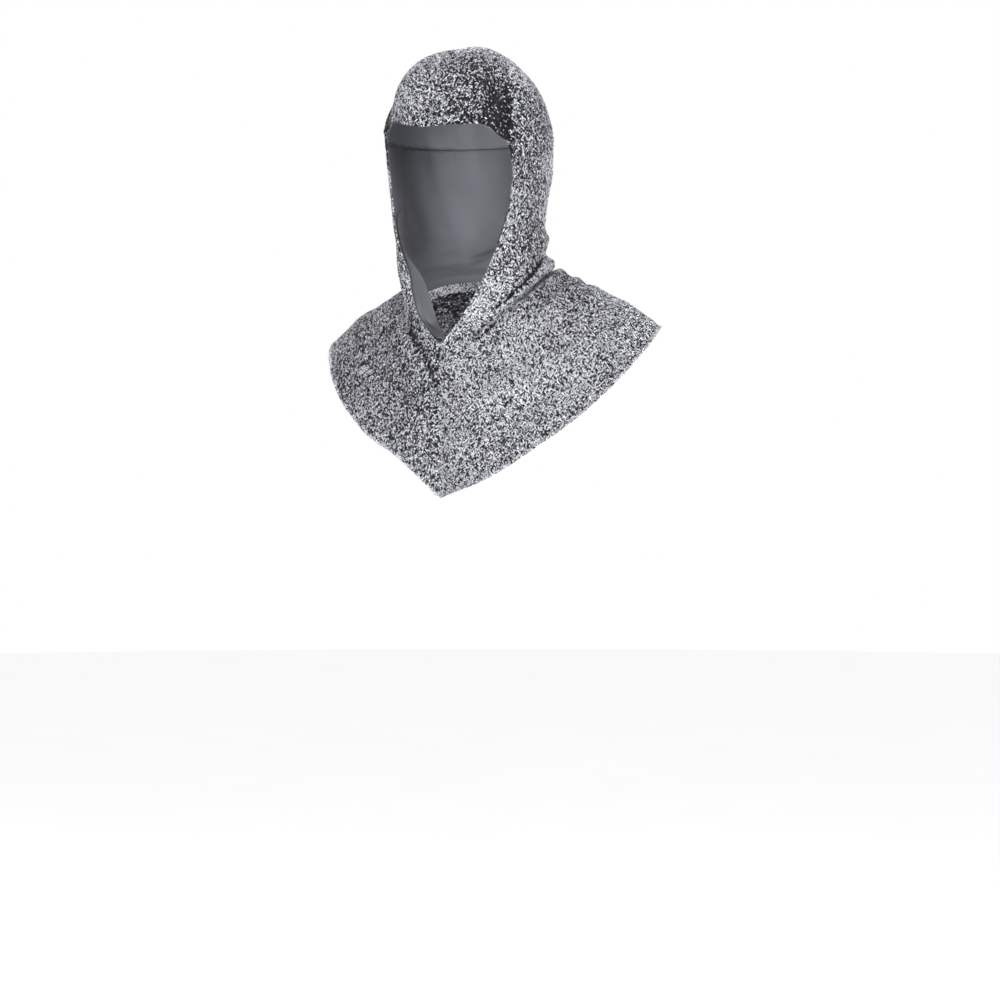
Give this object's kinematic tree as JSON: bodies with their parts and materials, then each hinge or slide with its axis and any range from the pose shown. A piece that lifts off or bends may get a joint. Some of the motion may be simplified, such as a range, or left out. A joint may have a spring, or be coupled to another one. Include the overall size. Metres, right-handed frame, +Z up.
{
  "type": "hooded coif with shoulder mantle",
  "caption": "Hooded coif of silver mail-look knit, as worn, with an open face, a grey lining and a pointed mantle over the shoulders.",
  "frame": {"origin": "where the wearer's crown touches the lining inside the hood, at the mount head_seat", "axes": "+Z up along the standing wearer, -Y the way the face looks, +X the wearer's left"},
  "size_m": [0.5019, 0.2656, 0.6075],
  "materials": {
    "metallic_knit": "silver and black tinsel knit",
    "lining": "smooth plain weave, grey"
  },
  "bodies": {
    "root": {"hood_left": "metallic_knit", "hood_right": "metallic_knit", "mantle_left": "metallic_knit", "mantle_right": "metallic_knit", "neck_band": "metallic_knit", "lining_crown": "lining", "lining_left": "lining", "lining_right": "lining", "facing_left": "lining", "facing_right": "lining"}
  },
  "joints": []
}
